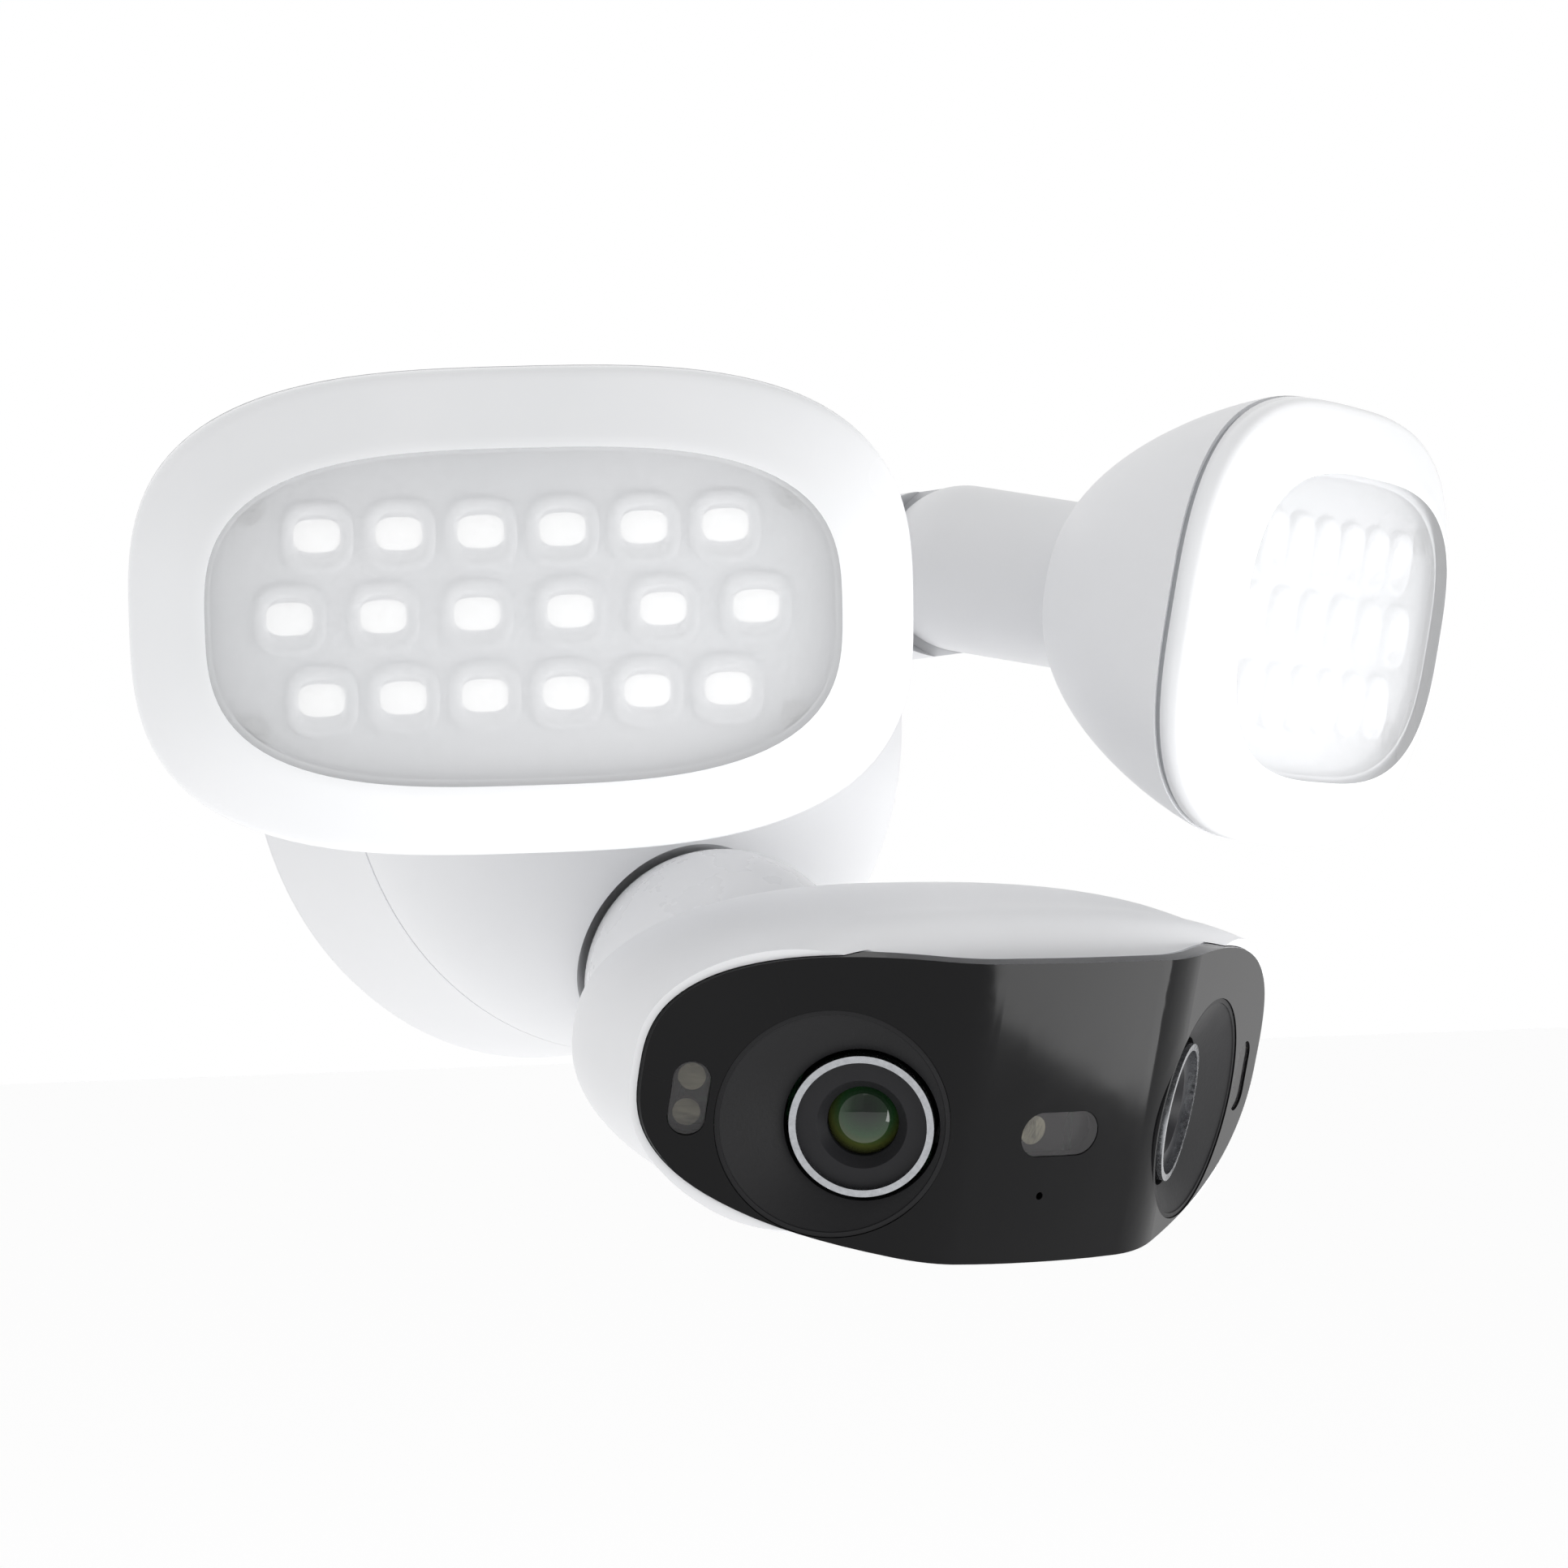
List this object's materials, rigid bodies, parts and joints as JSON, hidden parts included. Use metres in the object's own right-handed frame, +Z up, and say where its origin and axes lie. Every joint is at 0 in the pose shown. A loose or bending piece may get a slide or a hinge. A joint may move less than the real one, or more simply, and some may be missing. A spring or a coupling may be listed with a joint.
{
  "type": "floodlight security camera",
  "caption": "Wall-mounted security camera with a round domed canopy, swivelling oval LED lamp heads on jointed arms and a wide angled lens head on a ball neck.",
  "frame": {"origin": "centre of the canopy's rear edge, on the wall face", "axes": "+X to the right of someone facing the device, +Y into the wall, +Z up"},
  "size_m": [0.2916, 0.1783, 0.1586],
  "materials": {
    "white_plastic": "fine matte texture",
    "ball_plastic": "smooth satin",
    "gasket_rubber": "soft matte",
    "grey_seal": "soft matte",
    "white_seal": "soft matte",
    "plated_steel": "zinc plated",
    "screw_steel": "plated",
    "circuit_board": "solder mask",
    "components": "moulded",
    "terminal_plastic": "moulded",
    "frosted_diffuser": "frosted",
    "optic_plastic": "moulded optics",
    "led_board_metal": "white solder mask on aluminium",
    "led_phosphor": "phosphor",
    "black_cover": "high gloss",
    "bezel_black": "fine texture",
    "ring_silver": "turned satin",
    "barrel_black": "ribbed matte",
    "lens_glass": "coated",
    "dark_window": "tinted window",
    "spot_led": "moulded lens",
    "sensor_chip": "glass lid",
    "speaker_black": "moulded",
    "button_grey": "moulded"
  },
  "bodies": {
    "base": {"mounting_plate": "plated_steel", "wall_gasket": "gasket_rubber", "canopy_ring": "white_plastic", "canopy_dome": "white_plastic", "canopy_seal": "white_seal", "canopy_screws": "screw_steel", "canopy_fixing_screws": "screw_steel", "cable_grommet": "gasket_rubber", "driver_board": "circuit_board", "driver_components": "components", "terminal_block": "terminal_plastic", "board_screws": "screw_steel"},
    "left_shoulder": {"left_knuckle": "white_plastic", "left_swivel_nut": "plated_steel", "left_pivot_bolt": "screw_steel"},
    "left_lamp": {"left_lamp_arm": "white_plastic", "left_lamp_housing": "white_plastic", "left_lamp_seal": "grey_seal", "left_lamp_cover": "frosted_diffuser", "left_lens_tray": "optic_plastic", "left_led_board": "led_board_metal", "left_led_chips": "led_phosphor", "left_lamp_screws": "screw_steel"},
    "right_shoulder": {"right_knuckle": "white_plastic", "right_swivel_nut": "plated_steel", "right_pivot_bolt": "screw_steel"},
    "right_lamp": {"right_lamp_arm": "white_plastic", "right_lamp_housing": "white_plastic", "right_lamp_seal": "grey_seal", "right_lamp_cover": "frosted_diffuser", "right_lens_tray": "optic_plastic", "right_led_board": "led_board_metal", "right_led_chips": "led_phosphor", "right_lamp_screws": "screw_steel"},
    "neck": {"neck_ball": "ball_plastic", "tilt_pin": "screw_steel", "draw_nut": "plated_steel"},
    "camera_head": {"head_shell": "white_plastic", "tilt_bracket": "ball_plastic", "front_cover": "black_cover", "head_seal": "grey_seal", "lens_glasses": "lens_glass", "sensor_boards": "circuit_board", "image_sensors": "sensor_chip", "side_windows": "dark_window", "centre_window": "dark_window", "spot_leds": "spot_led", "main_board": "circuit_board", "main_board_chips": "components", "speaker": "speaker_black", "service_cover": "white_plastic", "card_socket": "components", "left_lens_bezel": "bezel_black", "left_lens_ring": "ring_silver", "left_lens_barrel": "barrel_black", "right_lens_bezel": "bezel_black", "right_lens_ring": "ring_silver", "right_lens_barrel": "barrel_black"},
    "button": {"reset_button": "button_grey"}
  },
  "joints": [
    {"name": "left_lamp_swivel", "type": "hinge", "parent": "base", "child": "left_shoulder", "pos_m": [-0.05211, -0.07248, 0.03046], "axis": [-0.4997, -0.8588, 0.1131], "range_deg": [-3, 60]},
    {"name": "left_lamp_tilt", "type": "hinge", "parent": "left_shoulder", "child": "left_lamp", "pos_m": [-0.05211, -0.07248, 0.03046], "axis": [-0.8657, 0.4996, -0.031], "range_deg": [-2, 45]},
    {"name": "right_lamp_swivel", "type": "hinge", "parent": "base", "child": "right_shoulder", "pos_m": [0.05211, -0.07248, 0.03046], "axis": [-0.4997, 0.8588, -0.1131], "range_deg": [-3, 60]},
    {"name": "right_lamp_tilt", "type": "hinge", "parent": "right_shoulder", "child": "right_lamp", "pos_m": [0.05211, -0.07248, 0.03046], "axis": [-0.8657, -0.4996, 0.031], "range_deg": [-2, 45]},
    {"name": "camera_pan", "type": "hinge", "parent": "base", "child": "neck", "pos_m": [0, -0.066, -0.049], "axis": [0, 0, 1], "range_deg": [-25, 25]},
    {"name": "camera_tilt", "type": "hinge", "parent": "neck", "child": "camera_head", "pos_m": [0, -0.066, -0.049], "axis": [1, 0, 0], "range_deg": [-2, 40]},
    {"name": "reset_button_press", "type": "slide", "parent": "camera_head", "child": "button", "axis": [0, -0.2706, 0.9627], "range_m": [0, 0.0008], "stiffness_N_per_m": 900, "springref_m": -0.0006}
  ]
}
